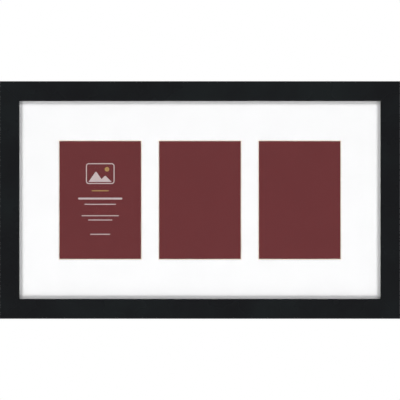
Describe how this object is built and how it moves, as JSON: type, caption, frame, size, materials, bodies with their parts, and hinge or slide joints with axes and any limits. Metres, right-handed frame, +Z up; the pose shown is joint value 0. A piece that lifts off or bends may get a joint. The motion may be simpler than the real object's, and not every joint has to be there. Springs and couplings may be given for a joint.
{
  "type": "collage photo frame",
  "caption": "Wall-hung picture frame with mitred black moulding, clear facing and a white mat with a row of bevelled windows for prints, backing held by turn buttons.",
  "frame": {"origin": "on the wall, where the wall's nail carries the hanger: under its middle tooth, in the plane of the bumpers' rear faces", "axes": "+X to the viewer's right along the frame's width, +Z up, +Y into the wall, so the face looks towards -Y"},
  "size_m": [0.5614, 0.0182, 0.3327],
  "materials": {
    "moulding": "satin black lacquer on wood",
    "nail_steel": "bright steel",
    "facing": "clear polished",
    "mat_board": "smooth white face, cream core",
    "print_left": "matt maroon card",
    "print_middle": "matt maroon card",
    "print_right": "matt maroon card",
    "backing": "plain brown hardboard",
    "turn_button_steel": "zinc plated",
    "screw_steel": "zinc plated",
    "hanger_steel": "zinc plated",
    "bumper_rubber": "soft matt"
  },
  "bodies": {
    "frame": {"top_rail": "moulding", "bottom_rail": "moulding", "left_rail": "moulding", "right_rail": "moulding", "mitre_nails_top_left": "nail_steel", "mitre_nails_top_right": "nail_steel", "mitre_nails_bottom_left": "nail_steel", "mitre_nails_bottom_right": "nail_steel", "clear_facing": "facing", "collage_mat": "mat_board", "print_left": "print_left", "print_middle": "print_middle", "print_right": "print_right", "backing_board": "backing", "turn_button_screws": "screw_steel", "sawtooth_hanger": "hanger_steel", "hanger_nails": "nail_steel", "bumper_left": "bumper_rubber", "bumper_right": "bumper_rubber"},
    "turn_button_bottom_left": {"turn_button_bottom_left": "turn_button_steel"},
    "turn_button_bottom_right": {"turn_button_bottom_right": "turn_button_steel"},
    "turn_button_right": {"turn_button_right": "turn_button_steel"},
    "turn_button_top_right": {"turn_button_top_right": "turn_button_steel"},
    "turn_button_top_left": {"turn_button_top_left": "turn_button_steel"},
    "turn_button_left": {"turn_button_left": "turn_button_steel"}
  },
  "joints": [
    {"name": "turn_button_bottom_left_turn", "type": "hinge", "parent": "frame", "child": "turn_button_bottom_left", "pos_m": [-0.14033, -0.0032, -0.30511], "axis": [0, 1, 0], "continuous": true},
    {"name": "turn_button_bottom_right_turn", "type": "hinge", "parent": "frame", "child": "turn_button_bottom_right", "pos_m": [0.14033, -0.0032, -0.30511], "axis": [0, 1, 0], "continuous": true},
    {"name": "turn_button_right_turn", "type": "hinge", "parent": "frame", "child": "turn_button_right", "pos_m": [0.26708, -0.0032, -0.15232], "axis": [0, 1, 0], "continuous": true},
    {"name": "turn_button_top_right_turn", "type": "hinge", "parent": "frame", "child": "turn_button_top_right", "pos_m": [0.14033, -0.0032, 0.00046], "axis": [0, 1, 0], "continuous": true},
    {"name": "turn_button_top_left_turn", "type": "hinge", "parent": "frame", "child": "turn_button_top_left", "pos_m": [-0.14033, -0.0032, 0.00046], "axis": [0, 1, 0], "continuous": true},
    {"name": "turn_button_left_turn", "type": "hinge", "parent": "frame", "child": "turn_button_left", "pos_m": [-0.26708, -0.0032, -0.15232], "axis": [0, 1, 0], "continuous": true}
  ]
}
